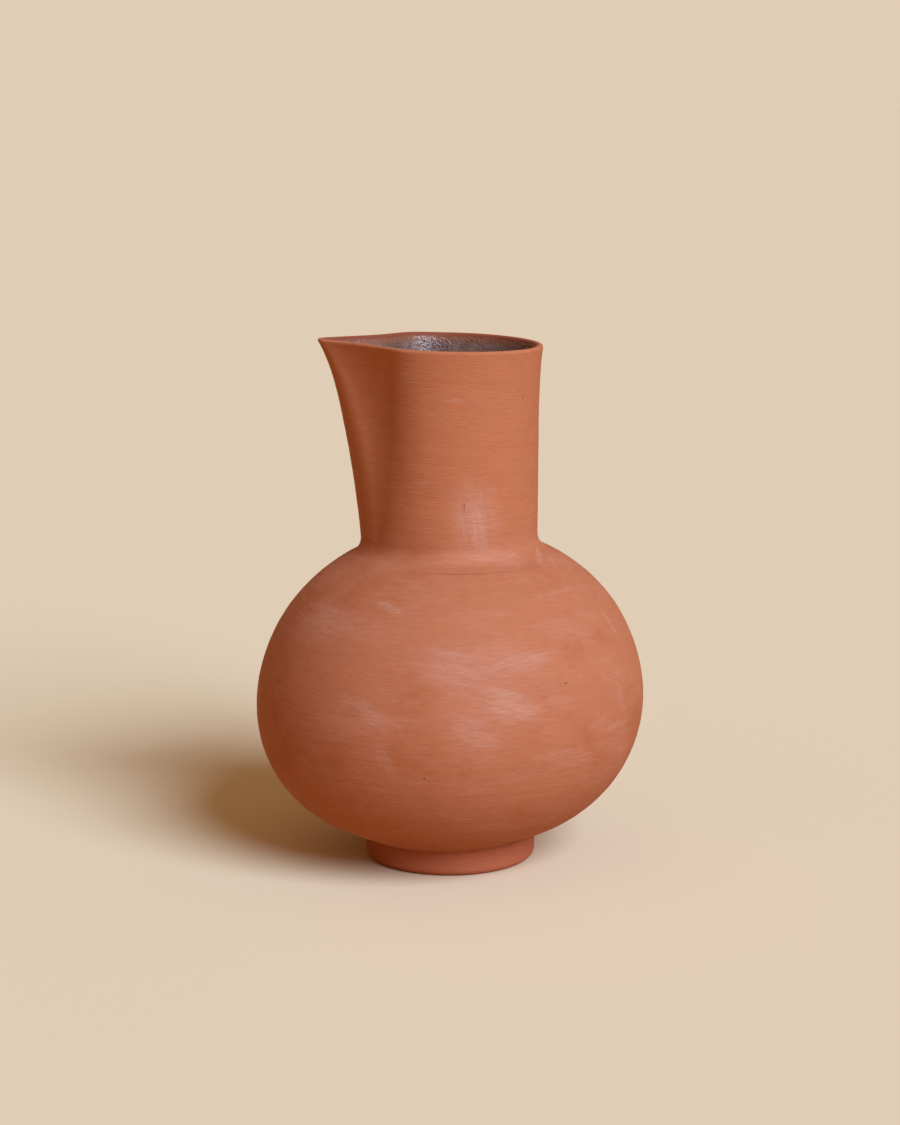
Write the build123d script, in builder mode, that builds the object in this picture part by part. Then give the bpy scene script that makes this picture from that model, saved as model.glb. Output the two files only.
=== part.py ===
"""A handleless earthenware water jug: a thrown globe, a luted neck pinched into a spout, a foot ring.

Millimetres, +Z up. The origin is on the table, in the middle of the foot ring. The spout points to -X.
"""
import os
from math import acos, atan2, cos, degrees, radians, sin, sqrt, tan

from build123d import *

# Driving dimensions of the thrown globe
belly_radius = 86.0  # the widest ring
belly_height = 71.7  # of that widest ring above the table
haunch_arc = 59.5  # profile radius from the widest ring down to the foot's cone
haunch_angle = 66.0  # how steeply the skin faces down where the haunch runs out into the cone
shoulder_arc = 76.6  # profile radius of the upper half
shoulder_angle = 5.7  # how steeply the skin faces up where the haunch meets the shoulder arc
haunch_slump = 2.4  # how far the soft globe's lower rings drift towards the spout, in degrees
shoulder_slump = 1.75  # and its upper rings away from it
floor_clearance = 7.7  # from the table to the flat middle of the underside
belly_wall = 5.5
floor_thickness = 7.0

# Driving dimensions of the neck
neck_radius = 38.9  # outside, at the seam
neck_length = 94.4  # from the seam to the rim's middle
neck_foot_width = 9.1  # how far the neck's flared foot reaches out over the globe
neck_fillet = 7.5  # the neck runs into its foot with this radius
neck_wall = 4.6  # at the seam
neck_shift = 0.2  # the neck's middle lies this far towards the spout
lip_wall = 3.3  # just under the lip
lip_round = 1.3  # rounding of the lip's two edges
rim_rise = 1.4  # how far the rim's plane climbs towards the spout, in degrees
rim_flare = 3.1  # how much the neck's round back widens at its rim
rim_shift = 1.0  # how much further the back's middle lies towards the spout at the rim

# Driving dimensions of the pinched spout
spout_overhang = 15.0  # how far the spout grows out of the neck in its long sweep
spout_kick = 3.3  # and how much more in the last stretch below the lip
nose_radius = 7.0  # of the spout's nose at the rim
nose_inset = 7.0  # at the seam the nose is rounder, its radius this much below the neck's
cheek_radius = 20.7  # of the turned-in cheeks beside the spout at the rim
cheek_inset = 1.5  # at the seam the cheeks' radius is this much below the neck's
cheek_start_seam = 85.0  # where the cheek begins, measured from the back, in degrees
cheek_start_rim = 110.0
finger_radius = 38.0  # of the upright hollows that two fingers left beside the spout
side_radius = 137.0  # those hollows flatten to this at the lip
sweep_power = 1.5  # how late along the neck the spout's sweep comes, where 1 is an even change
flare_power = 6  # the same for the rim's flare
kick_power = 10  # and for the spout's last kick

# Driving dimensions of the foot ring, the slip in the seams and the glaze
foot_radius = 37.9
foot_wall = 8.0
foot_edge_round = 3.5  # the worn outer edge that rests on the table
foot_bore_round = 1.2
slip = 0.6  # thickness of the slip in the two luted seams
groove = 0.4  # that slip stays this far short of the skin
slip_play = 0.05  # between the foot's slip and the clay above and below it
glaze = 0.5  # thickness of the glassy lining
glaze_margin = 0.2  # the lining stops this far below the rounding of the lip

globe_rings = 12  # level rings between the foot's cone and the neck's bore
neck_stations = (-0.06, 0.0, 0.13, 0.27, 0.42, 0.57, 0.7, 0.81, 0.9, 0.96, 1.0, 1.06)

# The globe's profile: the foot's cone, the haunch arc, the shoulder arc. Its Y counts from the widest ring.
haunch_centre = Vector(belly_radius - haunch_arc, 0)
shoulder_way = Vector(cos(radians(shoulder_angle)), sin(radians(shoulder_angle)))
shoulder_centre = haunch_centre - shoulder_way * (shoulder_arc - haunch_arc)
haunch_way = Vector(cos(radians(haunch_angle)), -sin(radians(haunch_angle)))


def skin_level(radius):
    """Height above the table of the shoulder's skin at a radius."""
    return belly_height + shoulder_centre.Y + sqrt(shoulder_arc**2 - (radius - shoulder_centre.X) ** 2)


seam_height = skin_level(neck_radius + neck_foot_width)
rim_height = seam_height + neck_length
seam_plane = Plane.XY.offset(seam_height)
neck_seat = seam_plane.offset(slip)
rim_plane = Plane(Location((0, 0, rim_height), (0, rim_rise, 0)))
lip_edge_round = min(lip_round, 0.4 * lip_wall)


def globe(inset, floor=None):
    """The globe as a solid, its skin moved inwards by inset, its floor raised by floor or by inset.

    It is lofted through level rings. Their middle drifts away from the spout with height.
    """
    haunch = haunch_arc - inset
    shoulder = shoulder_arc - inset
    floor_level = floor_clearance - belly_height + (inset if floor is None else floor)
    cone_top = haunch_centre + haunch_way * haunch
    cone_foot = cone_top + Vector(haunch_way.Y, -haunch_way.X) * (cone_top.Y - floor_level) / haunch_way.X
    high_angle = degrees(acos((neck_radius / 2 - shoulder_centre.X) / shoulder))
    profile = [cone_foot, (cone_foot + cone_top) / 2]
    for ring in range(globe_rings):
        angle = -haunch_angle + (high_angle + haunch_angle) * ring / (globe_rings - 1)
        way = Vector(cos(radians(angle)), sin(radians(angle)))
        below = angle < shoulder_angle
        profile.append(haunch_centre + way * haunch if below else shoulder_centre + way * shoulder)
    with BuildPart() as solid:
        for point in profile:
            slump = haunch_slump if point.Y < 0 else shoulder_slump
            with BuildSketch(Plane.XY.offset(belly_height + point.Y)):
                with Locations((point.Y * tan(radians(slump)), 0)):
                    Circle(point.X)
        loft()
    return solid.part


def bearing(start, end):
    """Direction from one point to another in the sketch, in degrees."""
    return degrees(atan2(end.Y - start.Y, end.X - start.X))


def neck_outline(share, inset):
    """Half the neck's outline, share of the way from the seam to the rim, moved inwards by inset.

    Four tangent arcs: the round back, the turned-in cheek, the hollow left by a finger, the nose.
    """
    share = max(share, 0.02)
    back = neck_radius + rim_flare * share**flare_power
    back_centre = Vector(-neck_shift - rim_shift * share**flare_power, 0)
    reach = neck_radius + spout_overhang * share**sweep_power + spout_kick * share**kick_power
    seam_nose = neck_radius - nose_inset
    nose = seam_nose + (nose_radius - seam_nose) * min(share, 1)
    nose_centre = Vector(nose - reach, 0)
    seam_cheek = neck_radius - cheek_inset
    cheek = seam_cheek + (cheek_radius - seam_cheek) * share
    cheek_start = cheek_start_seam + (cheek_start_rim - cheek_start_seam) * share
    cheek_way = Vector(cos(radians(cheek_start)), sin(radians(cheek_start)))
    cheek_centre = back_centre + cheek_way * (back - cheek)
    hollow = finger_radius + (side_radius - finger_radius) * share**kick_power

    # The hollow touches the cheek and the nose from outside, which fixes its centre.
    gap = nose_centre - cheek_centre
    along = ((cheek + hollow) ** 2 - (nose + hollow) ** 2 + gap.length**2) / (2 * gap.length)
    across = sqrt((cheek + hollow) ** 2 - along**2)
    step = gap.normalized()
    hollow_centre = cheek_centre + step * along + Vector(step.Y, -step.X) * across

    cheek_turn = bearing(cheek_centre, hollow_centre) - cheek_start
    hollow_start = bearing(hollow_centre, cheek_centre)
    hollow_turn = bearing(hollow_centre, nose_centre) - hollow_start
    nose_start = bearing(nose_centre, hollow_centre)
    CenterArc(back_centre, back - inset, 0, cheek_start)
    CenterArc(cheek_centre, cheek - inset, cheek_start, cheek_turn)
    CenterArc(hollow_centre, hollow + inset, hollow_start, hollow_turn)
    CenterArc(nose_centre, nose - inset, nose_start, 180 - nose_start)


def neck_core(seam_inset, rim_inset):
    """The neck as a solid from the seam to above the rim, inset by these walls at its two ends."""
    with BuildPart() as solid:
        for share in neck_stations:
            with BuildSketch(seam_plane.offset(share * neck_length)):
                with BuildLine():
                    neck_outline(share, seam_inset + share * (rim_inset - seam_inset))
                    mirror(about=Plane.XZ)
                make_face()
        loft()
    return solid.part


def foot_washer(inset):
    """A tall ring on the table with the foot ring's two walls, each moved into the clay by inset."""
    with BuildPart() as ring:
        with BuildSketch(Plane.XY):
            Circle(foot_radius - inset)
            Circle(foot_radius - foot_wall + inset, mode=Mode.SUBTRACT)
        extrude(amount=belly_height / 2)
    return ring.part


def lies_between(shape, low, high):
    """Whether the whole shape lies between two heights."""
    box = shape.bounding_box()
    return box.min.Z > low and box.max.Z < high


globe_skin = globe(0)
cavity = globe(belly_wall, floor_thickness)
bore = neck_core(neck_wall, lip_wall)

# The thrown globe with its closed floor, cut level at the shoulder and open to the neck's bore.
with BuildPart() as belly:
    add(globe_skin)
    add(cavity, mode=Mode.SUBTRACT)
    add(bore, mode=Mode.SUBTRACT)
    split(bisect_by=seam_plane, keep=Keep.BOTTOM)
belly.part.label = "belly"

# The slip that holds the neck's foot on the globe, short of the skin, so that a fine groove shows.
with BuildPart() as neck_seam_slip:
    add(globe(groove))
    split(bisect_by=seam_plane, keep=Keep.TOP)
    split(bisect_by=neck_seat, keep=Keep.BOTTOM)
    add(cavity, mode=Mode.SUBTRACT)
    add(bore, mode=Mode.SUBTRACT)
neck_seam_slip.part.label = "neck_seam_slip"

# The neck with its flared foot, whose skin carries on the globe's, and its pinched spout.
with BuildPart() as neck_with_spout:
    add(globe_skin)
    add(neck_core(0, 0))
    split(bisect_by=neck_seat, keep=Keep.TOP)
    foot_low = seam_height + slip + groove
    foot_high = skin_level(0) + neck_fillet
    foot_corner = neck_with_spout.edges().filter_by(lambda e: lies_between(e, foot_low, foot_high))
    fillet(foot_corner, neck_fillet)
    add(bore, mode=Mode.SUBTRACT)
    split(bisect_by=rim_plane, keep=Keep.BOTTOM)
    rim_face = neck_with_spout.faces().sort_by(Axis.Z)[-1]
    fillet(rim_face.edges(), lip_edge_round)
neck_with_spout.part.label = "neck_with_spout"

# The foot ring, fitted to the globe's underside. Its table edge is rounded, more so outside.
with BuildPart() as foot_ring:
    add(foot_washer(0))
    add(globe(-slip), mode=Mode.SUBTRACT)
    table_edges = foot_ring.edges().group_by(Axis.Z)[0].sort_by(SortBy.RADIUS)
    fillet(table_edges[-1], min(foot_edge_round, 0.45 * foot_wall))
    table_edges = foot_ring.edges().group_by(Axis.Z)[0].sort_by(SortBy.RADIUS)
    fillet(table_edges[0], min(foot_bore_round, 0.2 * foot_wall))
foot_ring.part.label = "foot_ring"

# The slip between the ring and the globe, short of both walls of the ring.
with BuildPart() as foot_seam_slip:
    add(foot_washer(groove))
    add(globe(slip_play - slip), mode=Mode.INTERSECT)
    add(globe(-slip_play), mode=Mode.SUBTRACT)
foot_seam_slip.part.label = "foot_seam_slip"

# What the glassy lining leaves free: the globe's hollow up to the neck's foot, and the neck's.
with BuildPart() as free_hollow:
    add(globe(belly_wall + glaze, floor_thickness + glaze))
    split(bisect_by=neck_seat.offset(-glaze), keep=Keep.BOTTOM)
    add(neck_core(neck_wall + glaze, lip_wall + glaze))

# The lining itself, from the floor to just below the rounding of the lip.
with BuildPart() as inside_glaze:
    add(cavity)
    split(bisect_by=neck_seat, keep=Keep.BOTTOM)
    add(bore)
    add(free_hollow.part, mode=Mode.SUBTRACT)
    split(bisect_by=rim_plane.offset(-lip_edge_round - glaze_margin), keep=Keep.BOTTOM)
inside_glaze.part.label = "inside_glaze"

os.makedirs("parts", exist_ok=True)
for piece in (belly, neck_seam_slip, neck_with_spout, foot_ring, foot_seam_slip, inside_glaze):
    export_step(piece.part, f"parts/{piece.part.label}.step")
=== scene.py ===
import math

import bpy
from mathutils import Euler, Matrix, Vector


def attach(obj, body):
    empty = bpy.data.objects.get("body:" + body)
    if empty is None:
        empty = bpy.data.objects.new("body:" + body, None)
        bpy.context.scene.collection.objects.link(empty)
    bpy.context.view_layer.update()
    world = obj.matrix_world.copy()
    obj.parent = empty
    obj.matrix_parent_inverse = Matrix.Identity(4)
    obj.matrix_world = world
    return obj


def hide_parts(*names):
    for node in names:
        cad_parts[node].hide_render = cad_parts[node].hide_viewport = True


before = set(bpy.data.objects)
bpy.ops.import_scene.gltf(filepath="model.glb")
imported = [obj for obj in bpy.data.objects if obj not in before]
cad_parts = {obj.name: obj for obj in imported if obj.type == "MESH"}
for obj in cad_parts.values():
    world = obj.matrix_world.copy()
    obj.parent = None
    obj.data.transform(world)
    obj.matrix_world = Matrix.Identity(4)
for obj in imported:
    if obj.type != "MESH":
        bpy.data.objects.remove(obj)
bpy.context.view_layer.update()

# Sizes of the jug in millimetres. The node trees count in millimetres too. All but the last two are those of
# the solids.
SIZES = {
    "Belly Radius": 86.0,
    "Belly Height": 71.7,
    "Haunch Arc": 59.5,
    "Shoulder Arc": 76.6,
    "Floor Clearance": 7.7,
    "Belly Wall": 5.5,
    "Floor Thickness": 7.0,
    "Neck Radius": 38.9,
    "Neck Length": 94.4,
    "Neck Fillet": 7.5,
    "Neck Wall": 4.6,
    "Lip Wall": 3.3,
    "Lip Round": 1.3,
    "Neck Shift": 0.2,
    "Rim Shift": 1.0,
    "Rim Flare": 3.1,
    "Spout Overhang": 15.0,
    "Spout Kick": 3.3,
    "Nose Radius": 7.0,
    "Nose Inset": 7.0,
    "Cheek Radius": 20.7,
    "Cheek Inset": 1.5,
    "Finger Radius": 38.0,
    "Side Radius": 137.0,
    "Foot Radius": 37.9,
    "Foot Wall": 8.0,
    "Foot Edge Round": 3.5,
    "Foot Bore Round": 1.2,
    "Slip": 0.6,
    "Glaze": 0.5,
    "Unevenness": 0.22,
    "Throwing Marks": 0.07,
}
HAUNCH_ANGLE = math.radians(66.0)
SHOULDER_ANGLE = math.radians(5.7)
HAUNCH_SLUMP = math.tan(math.radians(2.4))
SHOULDER_SLUMP = math.tan(math.radians(1.75))
RIM_RISE = math.tan(math.radians(1.4))
CHEEK_START = (math.radians(85.0), math.radians(110.0))
FLARE_POWER = 6.0
KICK_POWER = 10.0
OVERHANG_POWER = 1.5
LEAST_SHARE = 0.02  # of the neck's height, below which its outline stays the same
RIM_WAVE = 0.7
NECK_FOOT_WIDTH = 9.1
FILLET_GUESS = 9.0  # how far above the seam the search for the fillet's end starts
FOOT_SEAM_DROP = 7.0  # from the haunch's end to the height whose drift the whole foot seam takes
FLOOR_MIDDLE = 15.0  # the radius from which the flat floors drift with the globe
FOOT_NOISE_RADIUS = 38.0
FOOT_WAVER = 0.5
FOOT_SLIP_GAP = 0.25
SEAM_FRONT = math.radians(286.0)  # the neck's seam shows on this side of the jug
SEAM_REACH = math.radians(40.0)
GROOVE_DEPTH = 0.5
GLAZE_EDGE_DROP = 0.2
TO_METRES = 0.001
TO_MILLIMETRES = 1000.0
WELD = 0.000004  # metres
SHARP_CORNER = math.radians(28.0)
QUARTER_TURN = math.pi / 2.0
JUST_PAST = 0.001  # of a row
NOISE_REACH = 4.0  # turns the noise's usual quarter each way into a whole

# How far up the skin, in millimetres, a level ring lies. The brush lines follow it from piece to piece.
UNDERSIDE_LENGTH = 29.0
CONE_LENGTH = 24.0
CONE_SLANT = 2.5  # for each millimetre of height
FLOOR_LENGTH = 30.0
SEAM_LEVEL = 199.5
SLIP_LEVEL = 199.8
FOOT_SEAM_LEVEL = 48.0
FOOT_SIDE_LENGTH = 9.0

# Where the arcs of the globe's profile have their centres, and where the neck's seam lies.
haunch_x = SIZES["Belly Radius"] - SIZES["Haunch Arc"]
arc_step = SIZES["Shoulder Arc"] - SIZES["Haunch Arc"]
shoulder_x = haunch_x - math.cos(SHOULDER_ANGLE) * arc_step
shoulder_z = SIZES["Belly Height"] - math.sin(SHOULDER_ANGLE) * arc_step
seam_out = SIZES["Neck Radius"] + NECK_FOOT_WIDTH - shoulder_x
seam_angle = math.acos(seam_out / SIZES["Shoulder Arc"])
seam_height = shoulder_z + SIZES["Shoulder Arc"] * math.sin(seam_angle)
seat_height = seam_height + SIZES["Slip"]
rim_height = seam_height + SIZES["Neck Length"]
seat_angle = math.asin((seat_height - shoulder_z) / SIZES["Shoulder Arc"])


class Wire:
    """A socket of a node tree. Arithmetic on it adds Math nodes to its tree."""

    def __init__(self, tree, socket=None):
        self.tree = tree
        self.socket = socket

    def add(self, kind, settings=None, values=None, output=0):
        """Adds a node: first its settings, then the values or links of its sockets."""
        node = self.tree.nodes.new(kind)
        for name, value in (settings or {}).items():
            setattr(node, name, value)
        for name, value in (values or {}).items():
            self.feed(node.inputs[name], value)
        return Wire(self.tree, node.outputs[output])

    def feed(self, socket, value):
        """Gives a socket a value or the link of a wire."""
        if isinstance(value, Wire):
            self.tree.links.new(value.socket, socket)
        else:
            socket.default_value = value

    def sum(self, operation, *terms):
        """What a Math node makes of the terms."""
        return self.add("ShaderNodeMath", {"operation": operation}, dict(enumerate(terms)))

    def constant(self, value):
        """A number as a wire."""
        return self.sum("ADD", value, 0.0)

    def __add__(self, other):
        return self.sum("ADD", self, other)

    __radd__ = __add__

    def __sub__(self, other):
        return self.sum("SUBTRACT", self, other)

    def __rsub__(self, other):
        return self.sum("SUBTRACT", other, self)

    def __mul__(self, other):
        return self.sum("MULTIPLY", self, other)

    __rmul__ = __mul__

    def __truediv__(self, other):
        return self.sum("DIVIDE", self, other)

    def __rtruediv__(self, other):
        return self.sum("DIVIDE", other, self)

    def __pow__(self, power):
        return self.sum("POWER", self, power)

    def __neg__(self):
        return self.sum("MULTIPLY", self, -1.0)

    def clamp(self):
        """Kept between 0 and 1."""
        return self.add("ShaderNodeMath", {"operation": "ADD", "use_clamp": True}, {0: self, 1: 0.0})

    def past(self, other):
        """1 where this is more than the other, else 0."""
        return self.sum("GREATER_THAN", self, other)

    def eased(self, low, high):
        """From 0 at low to 1 at high, easing in and out."""
        values = {"Value": self, "From Min": low, "From Max": high}
        return self.add("ShaderNodeMapRange", {"interpolation_type": "SMOOTHSTEP"}, values)

    def to(self, other, share):
        """This where share is 0, the other where it is 1."""
        return self + (other - self) * share

    def root(self):
        return self.sum("SQRT", self)

    def sine(self):
        return self.sum("SINE", self)

    def cosine(self):
        return self.sum("COSINE", self)

    def split(self):
        """The x, y and z of a vector."""
        node = self.add("ShaderNodeSeparateXYZ", values={"Vector": self}).socket.node
        return [Wire(self.tree, output) for output in node.outputs]

    def join(self, x, y, z):
        """A vector of three numbers."""
        return self.add("ShaderNodeCombineXYZ", values={"X": x, "Y": y, "Z": z})

    def vector(self, operation, other, output=0):
        """What a Vector Math node makes of this vector and another."""
        return self.add("ShaderNodeVectorMath", {"operation": operation}, {0: self, 1: other}, output)

    def scaled(self, factor):
        """This vector times a number."""
        return self.add("ShaderNodeVectorMath", {"operation": "SCALE"}, {0: self, "Scale": factor})

    def shaded(self, light):
        """This colour with each channel times light."""
        return self.vector("MULTIPLY", self.join(light, light, light))

    def noise(self, scale, detail=2.0, roughness=0.5, warp=0.0):
        """Noise at this vector, about 0.5 on average."""
        values = {
            "Vector": self,
            "Scale": scale,
            "Detail": detail,
            "Roughness": roughness,
            "Distortion": warp,
        }
        return self.add("ShaderNodeTexNoise", values=values)

    def tinted(self, other, share):
        """This colour where share is 0, the other where it is 1."""
        mix = self.tree.nodes.new("ShaderNodeMix")
        mix.data_type = "RGBA"
        mix.clamp_factor = True
        # The sockets of the factor and of the two colours. The node has others of the same names.
        for number, value in ((0, share), (6, self), (7, other)):
            self.feed(mix.inputs[number], value)
        return Wire(self.tree, mix.outputs[2])


class Wheel:
    """A piece thrown on the wheel: a grid of rows along its profile and columns around it.

    It walks the profile stretch by stretch. Each stretch adds its own way to radius and height.
    """

    def __init__(self, name, columns, rows, spout_pull=0.0):
        """Spout_pull above 0 draws the columns closer together at the spout."""
        self.name = name
        tree = bpy.data.node_groups.new(name, "GeometryNodeTree")
        tree.interface.new_socket("Geometry", in_out="OUTPUT", socket_type="NodeSocketGeometry")
        for label in SIZES:
            tree.interface.new_socket(label, in_out="INPUT", socket_type="NodeSocketFloat")
        self.tree = tree
        self.bench = Wire(tree)
        inputs = tree.nodes.new("NodeGroupInput")
        self.size = {label: Wire(tree, inputs.outputs[label]) for label in SIZES}
        grid = {"Size X": 1.0, "Size Y": 1.0, "Vertices X": columns + 1, "Vertices Y": rows + 1}
        self.grid = self.bench.add("GeometryNodeMeshGrid", values=grid)
        across, along, _ = self.bench.add("GeometryNodeInputPosition").split()
        turn = (across + 0.5) * math.tau
        self.around = turn + turn.sine() * spout_pull
        self.row = (along + 0.5) * rows
        self.done = 0
        self.level = self.bench.constant(0.0)
        self.radius = self.bench.constant(0.0)
        self.height = self.bench.constant(0.0)

    def stretch(self, rows):
        """How far a row has come along the next stretch, from 0 to 1."""
        share = ((self.row - self.done) / rows).clamp()
        self.done += rows
        return share

    def line(self, rows, out, up, length=0.0):
        """A straight stretch of the profile."""
        share = self.stretch(rows)
        self.radius = self.radius + share * out
        self.height = self.height + share * up
        self.level = self.level + share * length

    def arc(self, rows, size, start, end, sign=1.0):
        """An arc of the profile, its angles counted from straight outwards."""
        share = self.stretch(rows)
        angle = share * (end - start) + start
        first = share * 0.0 + start
        self.radius = self.radius + (angle.cosine() - first.cosine()) * size
        self.height = self.height + (angle.sine() - first.sine()) * size
        self.level = self.level + (angle - first) * size * sign

    def on_circle(self, radius, height):
        """The spot in the direction around, at a radius and a height."""
        return self.bench.join(self.around.cosine() * radius, self.around.sine() * radius, height)

    def between(self, rise, fall):
        """1 on the rows between the two fades, 0 outside them. A fade is its first and its last row."""
        rising = ((self.row - rise[0]) / (rise[1] - rise[0])).clamp()
        return rising * ((fall[1] - self.row) / (fall[1] - fall[0])).clamp()

    def slump(self, height):
        """How far the soft globe's level ring has drifted to +X at a height."""
        away = height - self.size["Belly Height"]
        return away * (away.past(0.0) * (SHOULDER_SLUMP - HAUNCH_SLUMP) + HAUNCH_SLUMP)

    def slumped(self, radius, height):
        """The radius in each direction of a level ring that has drifted.

        The flat floors keep their middle.
        """
        return radius + self.slump(height) * self.around.cosine() * (radius / FLOOR_MIDDLE).clamp()

    def made(self, material, radius, height, swell=None, inside=None):
        """Turns the profile into a closed plain mesh with its own material.

        Swell is how far each point moves out along its normal, in millimetres. Inside is 1 where
        the skin faces the hollow or a seam.
        """
        bench = self.bench
        attributes = {"level": self.level, "inside": inside, "swell": swell}
        geometry = self.grid
        for name, value in attributes.items():
            if value is not None:
                values = {"Geometry": geometry, "Name": name, "Value": value}
                geometry = bench.add("GeometryNodeStoreNamedAttribute", values=values)
        spot = self.on_circle(radius, height).scaled(TO_METRES)
        geometry = bench.add("GeometryNodeSetPosition", values={"Geometry": geometry, "Position": spot})
        values = {"Geometry": geometry, "Distance": WELD}
        geometry = bench.add("GeometryNodeMergeByDistance", values=values)
        if swell is not None:
            bump = bench.add("GeometryNodeInputNamedAttribute", values={"Name": "swell"})
            offset = bench.add("GeometryNodeInputNormal").scaled(bump * TO_METRES)
            values = {"Geometry": geometry, "Offset": offset}
            geometry = bench.add("GeometryNodeSetPosition", values=values)
        geometry = bench.add("GeometryNodeSetShadeSmooth", values={"Geometry": geometry})
        corner = bench.add("GeometryNodeInputMeshEdgeAngle").past(SHARP_CORNER)
        values = {"Geometry": geometry, "Selection": corner, "Shade Smooth": False}
        geometry = bench.add("GeometryNodeSetShadeSmooth", {"domain": "EDGE"}, values)
        geometry = bench.add("GeometryNodeRealizeInstances", values={"Geometry": geometry})
        values = {"Geometry": geometry, "Material": material}
        geometry = bench.add("GeometryNodeSetMaterial", values=values)
        output = self.tree.nodes.new("NodeGroupOutput")
        self.tree.links.new(geometry.socket, output.inputs["Geometry"])

        carrier = bpy.data.objects.new(self.name, bpy.data.meshes.new(self.name))
        bpy.context.scene.collection.objects.link(carrier)
        modifier = carrier.modifiers.new("Wheel", "NODES")
        modifier.node_group = self.tree
        for item in self.tree.interface.items_tree:
            if item.in_out == "INPUT":
                modifier[item.identifier] = SIZES[item.name]
        carrier.update_tag()
        graph = bpy.context.evaluated_depsgraph_get()
        mesh = bpy.data.meshes.new_from_object(carrier.evaluated_get(graph))
        carrier.modifiers.clear()
        carrier.data = mesh
        return carrier


def neck_reach(wheel, share, inset):
    """Radius of the neck's outline in the direction around, moved inwards by inset.

    Four tangent arcs: the round back, the turned-in cheek, the hollow left by a finger, the nose.
    """
    size = wheel.size
    share = wheel.bench.sum("MAXIMUM", share, LEAST_SHARE)
    way_x = wheel.around.cosine()
    way_y = wheel.bench.sum("ABSOLUTE", wheel.around.sine())
    flare = share**FLARE_POWER
    kick = share**KICK_POWER
    back = size["Neck Radius"] + size["Rim Flare"] * flare
    back_x = -(size["Neck Shift"] + size["Rim Shift"] * flare)
    reach = size["Neck Radius"] + size["Spout Overhang"] * share**OVERHANG_POWER
    reach = reach + size["Spout Kick"] * kick
    seam_nose = size["Neck Radius"] - size["Nose Inset"]
    nose = seam_nose.to(size["Nose Radius"], wheel.bench.sum("MINIMUM", share, 1.0))
    nose_x = nose - reach
    cheek = (size["Neck Radius"] - size["Cheek Inset"]).to(size["Cheek Radius"], share)
    cheek_start = share * (CHEEK_START[1] - CHEEK_START[0]) + CHEEK_START[0]
    start_x = cheek_start.cosine()
    start_y = cheek_start.sine()
    cheek_x = back_x + start_x * (back - cheek)
    cheek_y = start_y * (back - cheek)
    hollow = size["Finger Radius"].to(size["Side Radius"], kick)

    # The hollow touches the cheek and the nose from outside, which fixes its centre.
    gap_x = nose_x - cheek_x
    gap = (gap_x * gap_x + cheek_y * cheek_y).root()
    far = cheek + hollow
    near = nose + hollow
    along = (far * far - near * near + gap * gap) / (gap * 2.0)
    across = (far * far - along * along).root()
    step_x = gap_x / gap
    step_y = -(cheek_y / gap)
    hollow_x = cheek_x + step_x * along + step_y * across
    hollow_y = cheek_y + step_y * along - step_x * across

    def hit(centre_x, centre_y, radius, side):
        """Where the direction leaves, or with side -1 enters, a circle."""
        shadow = way_x * centre_x + way_y * centre_y
        depth = radius * radius - (centre_x * centre_x + centre_y * centre_y) + shadow * shadow
        return shadow + depth.root() * side

    def turned_past(point_x, point_y):
        """1 where the direction has turned past a point, on its way to the spout."""
        return (point_x * way_y - point_y * way_x).past(0.0)

    edge = back - inset
    outline = hit(back_x, 0.0, edge, 1.0)
    cheek_from = turned_past(back_x + start_x * edge, start_y * edge)
    edge = cheek - inset
    outline = outline.to(hit(cheek_x, cheek_y, edge, 1.0), cheek_from)
    toward_x = (hollow_x - cheek_x) / far
    toward_y = (hollow_y - cheek_y) / far
    hollow_from = turned_past(cheek_x + toward_x * edge, cheek_y + toward_y * edge)
    outline = outline.to(hit(hollow_x, hollow_y, hollow + inset, -1.0), hollow_from)
    edge = nose - inset
    toward_x = (hollow_x - nose_x) / near
    toward_y = hollow_y / near
    nose_from = turned_past(nose_x + toward_x * edge, toward_y * edge)
    return outline.to(hit(nose_x, 0.0, edge, 1.0), nose_from)


def hand_marks(wheel, height):
    """The small unevenness of hand work, and the rings that the fingers left while throwing."""
    spot = wheel.on_circle(SIZES["Belly Radius"], height)
    uneven = (spot.noise(scale=0.022, detail=1.0) - 0.5) * wheel.size["Unevenness"] * NOISE_REACH
    rings = wheel.on_circle(0.4, wheel.level)
    marks = rings.noise(scale=0.16, detail=2.0, roughness=0.6) - 0.5
    return uneven + marks * wheel.size["Throwing Marks"] * NOISE_REACH


def rim_level(wheel):
    """Height of the rim's plane in each direction, with the lip's slight waviness."""
    reach = neck_reach(wheel, 1.0, 0.0)
    wave = (wheel.on_circle(1.0, 4.0).noise(scale=1.1, detail=1.0) - 0.5) * RIM_WAVE
    return rim_height - reach * wheel.around.cosine() * RIM_RISE + wave


def haunch_end(wheel, haunch):
    """Radius and height at which a haunch of this arc radius goes over into the underside's cone."""
    radius = haunch * math.cos(HAUNCH_ANGLE) + haunch_x
    return radius, wheel.size["Belly Height"] - haunch * math.sin(HAUNCH_ANGLE)


def under_globe(wheel, radius):
    """Height of the globe's underside at a radius in each direction, drifted as at the foot's seam."""
    cone_radius, cone_height = haunch_end(wheel, wheel.size["Haunch Arc"])
    away = cone_height - wheel.size["Belly Height"] - FOOT_SEAM_DROP
    drift = away * wheel.around.cosine() * HAUNCH_SLUMP
    return cone_height - (cone_radius + drift - radius) / math.tan(HAUNCH_ANGLE)


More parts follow.
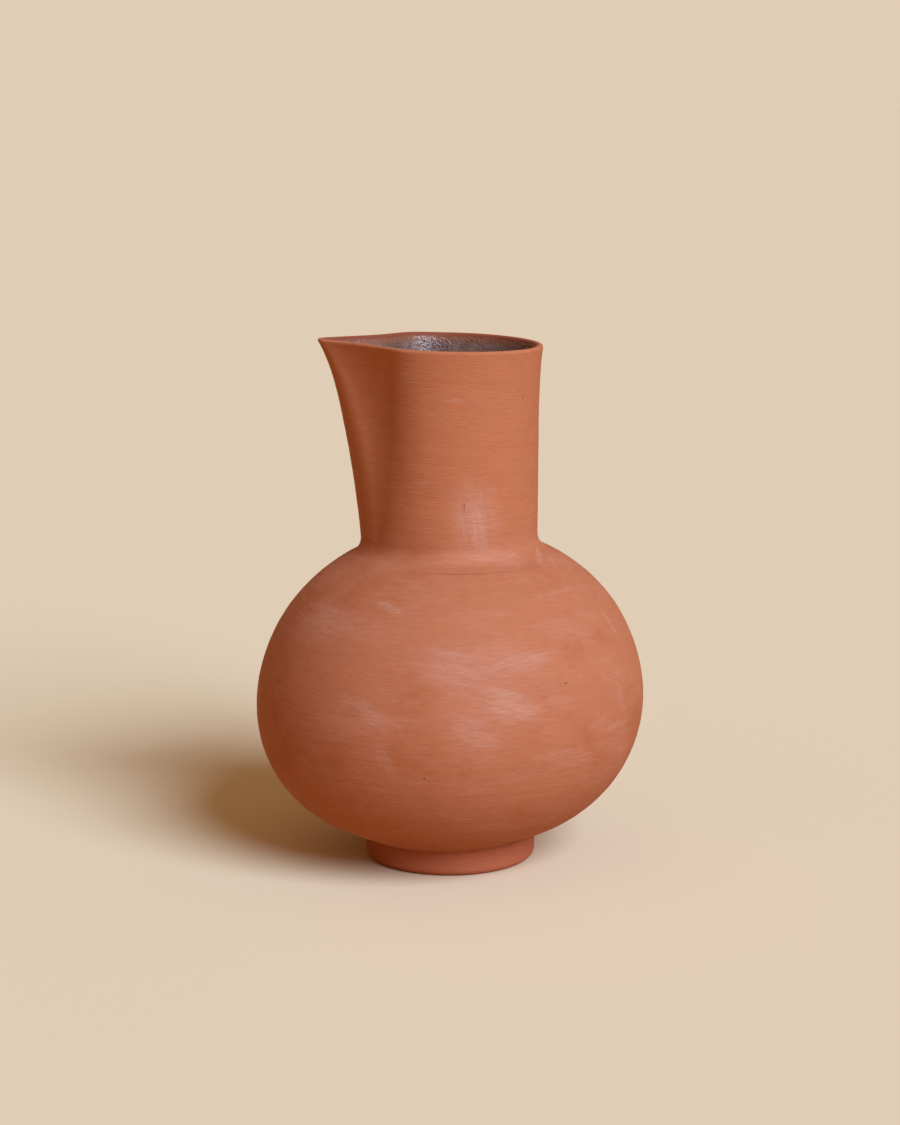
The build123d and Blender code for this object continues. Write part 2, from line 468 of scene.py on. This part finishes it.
def belly_inside(wheel, inset, floor, rows, start):
    """The hollow's profile from the shoulder at angle start down to the middle of the floor.

    Rows holds the number of rows on the shoulder, the haunch, the cone and the floor.
    """
    shoulder = wheel.size["Shoulder Arc"] - inset
    haunch = wheel.size["Haunch Arc"] - inset
    wheel.arc(rows[0], shoulder, start, SHOULDER_ANGLE, -1.0)
    wheel.arc(rows[1], haunch, SHOULDER_ANGLE, -HAUNCH_ANGLE, -1.0)
    cone_radius, cone_height = haunch_end(wheel, haunch)
    drop = cone_height - floor
    inwards = drop * math.tan(HAUNCH_ANGLE)
    wheel.line(rows[2], -inwards, -drop, drop * CONE_SLANT)
    wheel.line(rows[3], -(cone_radius - inwards), 0.0, FLOOR_LENGTH)


def throw_belly(clay):
    """The globe: underside, haunch and shoulder outside, then the seam's land and the hollow."""
    wheel = Wheel("thrown_belly", columns=288, rows=290)
    size = wheel.size
    cone_radius, cone_height = haunch_end(wheel, size["Haunch Arc"])
    rise = cone_height - size["Floor Clearance"]
    outwards = rise * math.tan(HAUNCH_ANGLE)
    wheel.height = wheel.height + size["Floor Clearance"]
    wheel.line(5, cone_radius - outwards, 0.0, UNDERSIDE_LENGTH)
    wheel.line(15, outwards, rise, CONE_LENGTH)
    wheel.arc(112, size["Haunch Arc"], -HAUNCH_ANGLE, SHOULDER_ANGLE)
    wheel.arc(100, size["Shoulder Arc"], SHOULDER_ANGLE, seam_angle)
    skin_rows = wheel.done
    inner = size["Shoulder Arc"] - size["Belly Wall"]
    inner_angle = wheel.bench.sum("ARCSINE", (seam_height - shoulder_z) / inner)
    wheel.line(4, inner * inner_angle.cosine() + shoulder_x - (seam_out + shoulder_x), 0.0)
    floor = size["Floor Clearance"] + size["Floor Thickness"]
    belly_inside(wheel, size["Belly Wall"], floor, (20, 24, 5, 5), inner_angle)
    radius = wheel.slumped(wheel.radius, wheel.height)
    # The foot and the neck meet an even skin.
    swell = hand_marks(wheel, wheel.height) * wheel.between((12.0, 24.0), (220.0, 231.0))
    inside = wheel.row.past(skin_rows + 0.5)
    return wheel.made(clay, radius, wheel.height, swell, inside)


def throw_neck(clay):
    """The neck: the foot that carries on the globe's skin, its fillet, the wall, the lip, the bore."""
    wheel = Wheel("neck_and_spout", columns=320, rows=246, spout_pull=0.5)
    size = wheel.size
    leaning = wheel.around.cosine() * SHOULDER_SLUMP

    # The fillet's circle touches the globe's skin from outside and the neck's wall.
    touch = seam_height + FILLET_GUESS
    reach = size["Shoulder Arc"] + size["Neck Fillet"]
    for _ in range(3):
        wall = neck_reach(wheel, (touch - seam_height) / size["Neck Length"], 0.0)
        drift = (touch - size["Belly Height"]) * leaning
        out = wall - drift + size["Neck Fillet"] - shoulder_x
        touch = (reach * reach - out * out).root() + shoulder_z
    skin_end = wheel.bench.sum("ARCCOSINE", out / reach)

    seat_inset = size["Neck Wall"].to(size["Lip Wall"], size["Slip"] / size["Neck Length"])
    land = wheel.stretch(4)
    wheel.height = wheel.height + seat_height
    wheel.radius = wheel.radius + size["Shoulder Arc"] * math.cos(seat_angle) + shoulder_x
    wheel.level = wheel.level + SEAM_LEVEL
    wheel.arc(12, size["Shoulder Arc"], seat_angle, skin_end)
    wheel.arc(10, size["Neck Fillet"], skin_end + math.pi, math.pi, -1.0)
    foot_radius = wheel.radius + (wheel.height - size["Belly Height"]) * leaning
    on_foot = 1.0 - wheel.row.past(wheel.done + JUST_PAST)

    lip = size["Lip Round"]
    rim = rim_level(wheel)
    up = wheel.stretch(150)
    over = wheel.stretch(6) * QUARTER_TURN
    across = wheel.stretch(3)
    under = wheel.stretch(6) * QUARTER_TURN
    down = wheel.stretch(55)
    height = wheel.height + up * (rim - lip - touch)
    wheel.level = wheel.level + up * size["Neck Length"]
    height = height + over.sine() * lip - (1.0 - under.cosine()) * lip
    height = height - down * (rim - lip - seat_height)
    share = (height - seam_height) / size["Neck Length"]
    wall_here = size["Neck Wall"].to(size["Lip Wall"], share)
    rounded = (1.0 - over.cosine() + under.sine()) * lip + across * (size["Lip Wall"] - lip * 2.0)
    inset = rounded + (wall_here - size["Lip Wall"]) * down.past(0.0)
    wall = neck_reach(wheel, share, inset.to(seat_inset, on_foot))
    radius = wall.to(wall.to(foot_radius, land), on_foot)
    # The neck's foot and the lip stay even.
    swell = hand_marks(wheel, height) * wheel.between((12.0, 24.0), (165.0, 176.0))
    inside = across * 0.5 + under / math.pi
    return wheel.made(clay, radius, height, swell, inside)


def turn_foot(clay):
    """The foot ring, fitted to the globe's underside, its table edge worn round."""
    wheel = Wheel("turned_foot_ring", columns=256, rows=72)
    size = wheel.size
    outer = size["Foot Radius"]
    inner = outer - size["Foot Wall"]
    edge = size["Foot Edge Round"]
    bore = size["Foot Bore Round"]
    lift = size["Slip"] / math.sin(HAUNCH_ANGLE)
    outer_top = under_globe(wheel, outer) - lift
    inner_top = under_globe(wheel, inner) - lift

    flat = wheel.stretch(6)
    out = wheel.stretch(12) * QUARTER_TURN
    up = wheel.stretch(22)
    top = wheel.stretch(8)
    down = wheel.stretch(16)
    back = wheel.stretch(8) * QUARTER_TURN
    radius = inner + bore + flat * (outer - edge - inner - bore) + out.sine() * edge
    radius = radius - top * (outer - inner) + (1.0 - back.cosine()) * bore
    height = (1.0 - out.cosine()) * edge + up * (outer_top - edge)
    height = height + top * (inner_top - outer_top)
    height = height - down * (inner_top - bore) - back.sine() * bore
    wheel.level = up * FOOT_SIDE_LENGTH + out * edge
    uneven = wheel.on_circle(FOOT_NOISE_RADIUS, height).noise(scale=0.05, detail=1.0) - 0.5
    waver = uneven * FOOT_WAVER * (out * 0.6).clamp() * (1.0 - top)
    return wheel.made(clay, radius + waver, height, inside=top.past(0.5))


def slip_wheel(name):
    """A wheel for a ring of slip, and how far its rows have come outwards and upwards, each from 0 to 1."""
    wheel = Wheel(name, columns=256, rows=24)
    out, up, back, down = [wheel.stretch(rows) for rows in (8, 4, 8, 4)]
    return wheel, out - back, up - down


def lay_neck_slip(clay):
    """The slip under the neck. Its edge is flush with the skin, but lies back here and there in front."""
    wheel, outwards, upwards = slip_wheel("neck_seam_slip_ring")
    size = wheel.size
    height = upwards * size["Slip"] + seam_height
    rise = height - shoulder_z
    skin = (size["Shoulder Arc"] * size["Shoulder Arc"] - rise * rise).root() + shoulder_x
    outer = wheel.slumped(skin, height)
    inner = size["Neck Radius"] - size["Neck Wall"]
    front = (wheel.around - SEAM_FRONT) / SEAM_REACH
    shown = (1.0 - front * front).clamp()
    groove = wheel.on_circle(1.0, 7.0).noise(scale=4.0).eased(0.28, 0.52)
    gap = groove * shown * GROOVE_DEPTH + 0.01
    radius = inner + (outer - gap - inner) * outwards
    wheel.level = wheel.level + SLIP_LEVEL
    return wheel.made(clay, radius, height, inside=wheel.bench.constant(0.0))


def lay_foot_slip(clay):
    """The slip between the foot ring and the globe, its edges set back a little unevenly."""
    wheel, outwards, upwards = slip_wheel("foot_seam_slip_ring")
    size = wheel.size
    outer = size["Foot Radius"]
    inner = outer - size["Foot Wall"]
    lift = size["Slip"] / math.sin(HAUNCH_ANGLE)
    gap = wheel.on_circle(1.0, 7.0).noise(scale=5.0) * FOOT_SLIP_GAP + 0.02
    radius = inner + gap + (outer - inner - gap * 2.0) * outwards
    height = under_globe(wheel, radius) - lift * (1.0 - upwards)
    wheel.level = wheel.level + FOOT_SEAM_LEVEL
    return wheel.made(clay, radius, height, inside=wheel.bench.constant(0.0))


def pour_glaze(glass):
    """The glassy lining, from just below the lip to the floor, and back along the clay."""
    wheel = Wheel("glazed_lining", columns=256, rows=220, spout_pull=0.5)
    size = wheel.size
    leaning = wheel.around.cosine() * SHOULDER_SLUMP
    rim = rim_level(wheel) - size["Lip Round"] - GLAZE_EDGE_DROP
    skin = size["Glaze"]
    back_rows = (15, 14, 4, 6)

    def meeting(inset, belly_inset):
        """Where the neck's bore meets the globe's hollow: the angle on the shoulder's arc and its radius."""
        ball = size["Shoulder Arc"] - belly_inset
        drift = (seam_height - size["Belly Height"]) * leaning
        out = neck_reach(wheel, 0.0, inset) - drift - shoulder_x
        return wheel.bench.sum("ARCCOSINE", out / ball), ball

    free_angle, free_ball = meeting(size["Neck Wall"] + skin, size["Belly Wall"] + skin)
    clay_angle, clay_ball = meeting(size["Neck Wall"], size["Belly Wall"])
    free_meet = free_angle.sine() * free_ball + shoulder_z
    clay_meet = clay_angle.sine() * clay_ball + shoulder_z

    edge = wheel.stretch(3)
    down = wheel.stretch(64)
    first = wheel.done
    wheel.radius = free_angle.cosine() * free_ball + shoulder_x
    wheel.height = free_meet
    floor = size["Floor Clearance"] + size["Floor Thickness"]
    belly_inside(wheel, size["Belly Wall"] + skin, floor + skin, (36, 34, 6, 8), free_angle)
    free_radius = wheel.radius
    free_height = wheel.height
    # Back along the clay. Meanwhile the rows count backwards, from the floor to the shoulder.
    last = wheel.done
    mirror = float(2 * last + sum(back_rows))
    wheel.row = mirror - wheel.row
    wheel.radius = clay_angle.cosine() * clay_ball + shoulder_x
    wheel.height = clay_meet
    belly_inside(wheel, size["Belly Wall"], floor, back_rows, clay_angle)
    wheel.row = mirror - wheel.row
    up = wheel.stretch(30)
    rising = up.past(0.0)
    on_clay = wheel.row.past(last + JUST_PAST)
    in_belly = wheel.row.past(first + JUST_PAST) * (1.0 - rising)
    belly_radius = free_radius.to(wheel.radius, on_clay)
    belly_height = free_height.to(wheel.height, on_clay)
    neck_height = (rim - down * (rim - free_meet)).to(clay_meet + up * (rim - clay_meet), rising)
    share = (neck_height - seam_height) / size["Neck Length"]
    inset = size["Neck Wall"].to(size["Lip Wall"], share) + skin * edge * (1.0 - rising)
    neck = neck_reach(wheel, share, inset)
    height = neck_height.to(belly_height, in_belly)
    radius = neck.to(wheel.slumped(belly_radius, belly_height), in_belly)
    wheel.level = rim - height
    return wheel.made(glass, radius, height)


def brushed(place, level, length, width, detail=2.0, roughness=0.5):
    """Noise drawn out along the level rings: length around the jug, width up its skin, both in mm."""
    x, y, _ = place.split()
    spot = place.join(x / length, y / length, level / width)
    return spot.noise(1.0, detail, roughness)


def nick(place, spot, wide, tall):
    """1 in the middle of a small upright dent in the clay, 0 outside it."""
    x, y, z = place.vector("SUBTRACT", spot).split()
    far = (x * x + y * y) / (wide * wide) + z * z / (tall * tall)
    return (1.0 - far).eased(0.0, 0.7)


def smear(place, start, end, width, fleck, out):
    """A stroke of pale dried slip from start to end. Out is which way the skin faces there."""
    start, end, out = Vector(start), Vector(end), Vector(out).normalized()
    middle = (start + end) / 2
    along = (end - start).normalized()
    across = out.cross(along).normalized()
    length = (end - start).length / 2
    away = place.vector("SUBTRACT", middle)
    run = away.vector("DOT_PRODUCT", along, "Value")
    side = away.vector("DOT_PRODUCT", across, "Value")
    depth = away.vector("DOT_PRODUCT", out, "Value")
    far = (run / length) * (run / length) + (side / width) * (side / width)
    far = far + (depth / SMEAR_DEPTH) * (depth / SMEAR_DEPTH)
    hairs = place.join(run / (fleck * HAIR_LENGTH), side / fleck, 3.0)
    hairs = hairs.noise(scale=1.0, detail=3.0, roughness=0.6)
    soft = 0.14 + 0.03 * fleck
    return (1.0 - far.root()).eased(0.0, 0.85) * hairs.eased(0.5 - soft, 0.5 + soft)


SMEAR_DEPTH = 14.0  # how far above or below a stroke's middle the skin still takes its tint
HAIR_LENGTH = 9.0  # of a fleck, in widths
SMEARS = (
    # start, end, half width, width of a fleck, way the skin faces, strength
    ((-34, -50, 126), (-16, -63, 121.5), 3.2, 0.7, (-0.3, -0.7, 0.6), 0.9),
    ((64, -12, 125), (22, -62, 121), 2.2, 0.6, (0.4, -0.55, 0.7), 0.5),
    ((-14, -79, 105), (52, -66, 82), 28.0, 9.0, (0.15, -0.95, 0.25), 0.5),
    ((-22, -75, 107), (24, -77, 96), 15.0, 4.0, (0, -0.9, 0.4), 0.75),
    ((6, -83, 93), (42, -76, 82), 10.0, 3.0, (0.2, -0.95, 0.2), 0.9),
    ((-6, -86, 82), (26, -83, 72), 9.0, 3.0, (0.1, -1, 0.1), 0.8),
    ((-50, -66, 92), (-16, -84.5, 74), 6.0, 0.9, (-0.35, -0.92, 0.15), 0.7),
    ((-33, -79, 74), (-22, -83, 55), 5.0, 1.2, (-0.3, -0.95, -0.05), 0.5),
    ((8, -79, 101), (50, -61, 106), 6.0, 1.6, (0.35, -0.85, 0.4), 0.7),
    ((30, -66, 116), (64, -38, 108), 8.0, 3.0, (0.5, -0.7, 0.5), 0.5),
    ((64, -28, 120), (74, -29, 104), 2.6, 0.7, (0.85, -0.35, 0.5), 0.7),
    ((64, -58, 70), (80, -32, 72.5), 2.8, 0.7, (0.83, -0.55, 0), 0.6),
    ((71, -46, 92), (76, -41, 72), 4.5, 1.0, (0.86, -0.5, 0.1), 0.5),
    ((30, -80, 66), (66, -52, 60), 6.0, 1.6, (0.6, -0.8, -0.1), 0.45),
    ((44, -72, 61.5), (74, -33, 49), 1.0, 0.5, (0.7, -0.7, -0.2), 0.35),
    ((-66, -26, 119), (-40, -60, 112), 13.0, 3.0, (-0.6, -0.5, 0.6), 0.55),
    ((7, -38.5, 182), (15, -36, 136), 15.0, 7.0, (0.28, -0.96, 0), 1.0),
    ((6, -38.6, 172), (14, -36.5, 142), 9.0, 2.0, (0.28, -0.96, 0), 0.35),
    ((-18, -38, 139), (40, -28, 140), 7.0, 3.0, (0.2, -0.9, 0.4), 0.75),
    ((37.6, -8, 143), (38.8, -32, 136), 1.8, 0.7, (0.87, -0.4, 0.3), 0.8),
    ((42, -14, 139), (47, -25, 134), 1.8, 0.6, (0.8, -0.35, 0.5), 0.7),
)
NICKS = (
    # spot, half width, half height
    ((6.0, -38.4, 164.3), 0.25, 2.6),
    ((35.9, -39.4, 134.0), 0.45, 0.7),
    ((17.1, -34.8, 143.6), 0.4, 0.4),
    ((9.8, -37.6, 141.5), 0.35, 0.35),
    ((48.7, -66.9, 94.0), 0.8, 0.6),
    ((49.1, -53.4, 115.2), 0.35, 0.5),
    ((-47.6, -60.2, 105.0), 0.35, 0.35),
)
CLAY = (0.478, 0.160, 0.079, 1.0)
WARM_CLAY = (0.445, 0.133, 0.058, 1.0)
PALE_CLAY = (0.510, 0.190, 0.108, 1.0)
BLOOM = (0.570, 0.305, 0.240, 1.0)
NECK_CLAY = (0.500, 0.161, 0.070, 1.0)
LIP_CLAY = (0.232, 0.055, 0.029, 1.0)
FOOT_CLAY = (0.45, 0.118, 0.058, 1.0)
SLIP_CLAY = (0.42, 0.125, 0.062, 1.0)
SPECK = (0.09, 0.035, 0.02, 1.0)
MAUVE_GLAZE = (0.201, 0.112, 0.096, 1.0)
BROWN_GLAZE = (0.107, 0.046, 0.036, 1.0)
RED_GLAZE = (0.268, 0.076, 0.038, 1.0)
PINHOLE = (0.05, 0.02, 0.014, 1.0)
NECK_TINT_FROM = 134.0  # the heights between which the clay takes on the neck's colour
NECK_TINT_TO = 162.0
CLAY_RELIEF = 0.00016  # metres
GLAZE_RELIEF = 0.0004
THIN_GLAZE = 5.0  # how far under the glaze's edge it is thin, in millimetres


def fresh_material(name):
    """A material without nodes, and the bench to build them on."""
    material = bpy.data.materials.new(name)
    material.use_nodes = True
    material.node_tree.nodes.clear()
    return material, Wire(material.node_tree)


def finish_material(bench, shader):
    """Shows a shader on the surface."""
    output = bench.tree.nodes.new("ShaderNodeOutputMaterial")
    bench.tree.links.new(shader.socket, output.inputs["Surface"])


def in_millimetres(bench):
    """The place on the piece, in millimetres."""
    return bench.add("ShaderNodeTexCoord", output="Object").scaled(TO_MILLIMETRES)


def plain(bench, colour):
    """A colour as a wire."""
    wire = bench.add("ShaderNodeRGB")
    wire.socket.default_value = colour
    return wire


def stored(bench, name):
    """A number that the piece's mesh stores at each point."""
    return bench.add("ShaderNodeAttribute", {"attribute_name": name}, output="Fac")


def cells(place, scale):
    """Distance to the nearest of many scattered points."""
    values = {"Vector": place, "Scale": scale}
    return place.add("ShaderNodeTexVoronoi", values=values, output="Distance")


def relieved(bench, height, distance):
    """The normal of a skin with a fine relief."""
    values = {"Height": height, "Strength": 1.0, "Distance": distance}
    return bench.add("ShaderNodeBump", values=values)


def fired_clay(name, tint=None, tint_share=0.0, blooming=True):
    """Unglazed earthenware: brushed in level rings, clouded, with pale bloom and a few specks."""
    material, bench = fresh_material(name)
    place = in_millimetres(bench)
    inside = stored(bench, "inside")
    drawn = stored(bench, "level") + (place.noise(scale=0.05, detail=1.0) - 0.5) * 3.5

    # Each layer starts at another level, so that none repeats another.
    fine = brushed(place, drawn, length=4.0, width=0.42, roughness=0.55)
    dashes = brushed(place, drawn + 40.0, length=6.5, width=0.85, roughness=0.6)
    bands = brushed(place, drawn + 90.0, length=60.0, width=6.0)
    clouds = place.noise(scale=0.035, detail=3.0, roughness=0.55, warp=0.4)
    wash = brushed(place, drawn + 10.0, length=34.0, width=13.0, detail=3.0, roughness=0.6)
    grain = place.noise(scale=2.2, detail=3.0, roughness=0.7)

    colour = plain(bench, CLAY)
    colour = colour.tinted(WARM_CLAY, clouds.eased(0.52, 0.30) * 0.9)
    colour = colour.tinted(PALE_CLAY, wash.eased(0.48, 0.72) * 0.75)
    if tint is not None:
        colour = colour.tinted(tint, tint_share)
    colour = colour.tinted(NECK_CLAY, place.split()[2].eased(NECK_TINT_FROM, NECK_TINT_TO) * 0.7)

    if blooming:
        haze = brushed(place, drawn + 55.0, length=26.0, width=9.0, detail=4.0, roughness=0.65)
        bloom = haze.eased(0.60, 0.78) * 0.35
        for start, end, width, fleck, out, strength in SMEARS:
            bloom = bloom + smear(place, start, end, width, fleck, out) * strength
        bloom = bloom.clamp() * (dashes.eased(0.25, 0.65) * 0.3 + 0.7)
        colour = colour.tinted(BLOOM, bloom * 0.8)

    light = (fine - 0.5) * 0.26 + (dashes - 0.5) * 0.24
    light = light + (grain - 0.5) * 0.16 + (bands - 0.5) * 0.05 + 1.0
    colour = colour.shaded(light)
    sizes = place.noise(scale=0.23, detail=1.0)
    specks = (0.07 - cells(place, 0.11)).eased(0.0, 0.04) * sizes.eased(0.62, 0.72)
    if blooming:
        for spot, wide, tall in NICKS:
            specks = specks + nick(place, spot, wide, tall) * 0.7
    specks = specks.clamp()
    colour = colour.tinted(SPECK, specks * 0.8)
    colour = colour.tinted(LIP_CLAY, inside.eased(0.3, 0.8))

    relief = (fine * 0.45 + dashes * 0.8 + bands * 1.1 + grain * 0.22) - specks * 0.8
    values = {
        "Base Color": colour,
        "Roughness": 0.86 + (dashes - 0.5) * 0.12 - inside * 0.25,
        "Specular IOR Level": 0.25,
        "Normal": relieved(bench, relief, CLAY_RELIEF),
    }
    finish_material(bench, bench.add("ShaderNodeBsdfPrincipled", values=values))
    return material


def fired_glaze(name):
    """A glossy dark lining: mauve where it is thick, red brown where it thins at the lip."""
    material, bench = fresh_material(name)
    place = in_millimetres(bench)
    level = stored(bench, "level")
    clouds = place.noise(scale=0.07, detail=3.0, roughness=0.6, warp=0.5)
    runs = brushed(place, level, length=7.0, width=26.0, detail=3.0, roughness=0.6)
    fine = place.noise(scale=0.9, detail=2.0, roughness=0.6)
    thin = (1.0 - level / THIN_GLAZE + (runs - 0.5) * 1.2).eased(0.25, 0.95)
    pins = (0.22 - cells(place, 0.42)).eased(0.0, 0.12)
    pins = pins * place.noise(scale=0.3, detail=1.0).eased(0.46, 0.6)

    colour = plain(bench, MAUVE_GLAZE)
    colour = colour.tinted(BROWN_GLAZE, clouds.eased(0.46, 0.70))
    colour = colour.tinted(RED_GLAZE, thin * 0.85)
    colour = colour.shaded((fine - 0.5) * 0.5 + 1.0)
    colour = colour.tinted(PINHOLE, pins * 0.6)
    values = {
        "Base Color": colour,
        "Roughness": (fine - 0.5) * 0.16 + 0.22 + pins * 0.3,
        "Specular IOR Level": 0.5,
        "Normal": relieved(bench, runs * 0.6 + fine * 0.9 - pins * 1.2, GLAZE_RELIEF),
    }
    finish_material(bench, bench.add("ShaderNodeBsdfPrincipled", values=values))
    return material


body_clay = fired_clay("fired_clay")
foot_clay = fired_clay("fired_foot_clay", FOOT_CLAY, tint_share=0.6, blooming=False)
slip_clay = fired_clay("fired_slip", SLIP_CLAY, tint_share=0.25, blooming=False)
lining = fired_glaze("mauve_glaze")

PIECES = (
    # the piece, the solid that it replaces, its slot
    (throw_belly(body_clay), "belly", "belly_clay"),
    (throw_neck(body_clay), "neck_with_spout", "neck_clay"),
    (turn_foot(foot_clay), "foot_ring", "foot_clay"),
    (lay_neck_slip(body_clay), "neck_seam_slip", "slip"),
    (lay_foot_slip(slip_clay), "foot_seam_slip", "slip"),
    (pour_glaze(lining), "inside_glaze", "glaze"),
)
for piece, node, slot in PIECES:
    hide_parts(node)
    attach(piece, "root")


def seen_rays(bench):
    """1 for the rays that show the background itself, 0 for those that only carry its light."""
    path = bench.add("ShaderNodeLightPath").socket.node.outputs
    camera_ray = Wire(bench.tree, path["Is Camera Ray"])
    glossy_ray = Wire(bench.tree, path["Is Glossy Ray"])
    return (camera_ray + glossy_ray + Wire(bench.tree, path["Is Transmission Ray"])).clamp()


# A plain pale table that runs out of sight, and the same pale colour behind it.
PALE = (0.752, 0.610, 0.462, 1.0)
TABLE = (0.912, 0.768, 0.568, 1.0)
TABLE_BOUNCE = (0.60, 0.335, 0.12, 1.0)
LOW_SKY = (0.27, 0.146, 0.062, 1.0)
HIGH_SKY = (0.314, 0.190, 0.095, 1.0)
TABLE_RADIUS = 20.0  # metres
table, bench = fresh_material("pale_table")
colour = plain(bench, TABLE_BOUNCE).tinted(TABLE, seen_rays(bench))
finish_material(bench, bench.add("ShaderNodeBsdfDiffuse", values={"Color": colour}))
bpy.ops.mesh.primitive_circle_add(vertices=96, radius=TABLE_RADIUS, fill_type="NGON")
floor = bpy.context.object
floor.name = "floor"
floor.data.materials.append(table)

world = bpy.data.worlds.new("studio")
bpy.context.scene.world = world
world.use_nodes = True
world.node_tree.nodes.clear()
bench = Wire(world.node_tree)
rise = bench.add("ShaderNodeTexCoord", output="Generated").split()[2]
colour = plain(bench, LOW_SKY).tinted(HIGH_SKY, rise.clamp())
ambient = bench.add("ShaderNodeBackground", values={"Color": colour, "Strength": 1.0})
seen = bench.add("ShaderNodeBackground", values={"Color": PALE, "Strength": 1.0})
mixed = bench.add("ShaderNodeMixShader", values={0: seen_rays(bench), 1: ambient, 2: seen})
output = world.node_tree.nodes.new("ShaderNodeOutputWorld")
world.node_tree.links.new(mixed.socket, output.inputs["Surface"])

# One soft key light from the front right.
KEY_TURN = math.radians(37.0)
KEY_RISE = math.radians(35.0)
KEY_SOFTNESS = math.radians(34.0)
KEY_POWER = 4.0
KEY_COLOUR = (0.714, 0.847, 1.0)
key = bpy.data.lights.new("key", "SUN")
key.energy = KEY_POWER
key.angle = KEY_SOFTNESS
key.color = KEY_COLOUR
key_holder = bpy.data.objects.new("key", key)
bpy.context.scene.collection.objects.link(key_holder)
level_way = Vector((math.sin(KEY_TURN), -math.cos(KEY_TURN), 0.0)) * math.cos(KEY_RISE)
toward = level_way + Vector((0.0, 0.0, math.sin(KEY_RISE)))
key_holder.rotation_euler = toward.to_track_quat("Z", "Y").to_euler()

# The camera in front, a little above the rim, tilted down.
CAMERA_SPOT = (0.0, -1.150, 0.351)
CAMERA_TILT = math.radians(79.26)
FOCAL_LENGTH = 84.8  # millimetres, as the sensor's width
SENSOR_WIDTH = 36.0
SIGHT = 60.0  # metres
lens = bpy.data.cameras.new("camera")
lens.lens = FOCAL_LENGTH
lens.sensor_width = SENSOR_WIDTH
lens.clip_end = SIGHT
camera = bpy.data.objects.new("camera", lens)
bpy.context.scene.collection.objects.link(camera)
camera.location = CAMERA_SPOT
camera.rotation_euler = Euler((CAMERA_TILT, 0.0, 0.0))
bpy.context.scene.camera = camera
bpy.context.scene.view_settings.view_transform = "Standard"
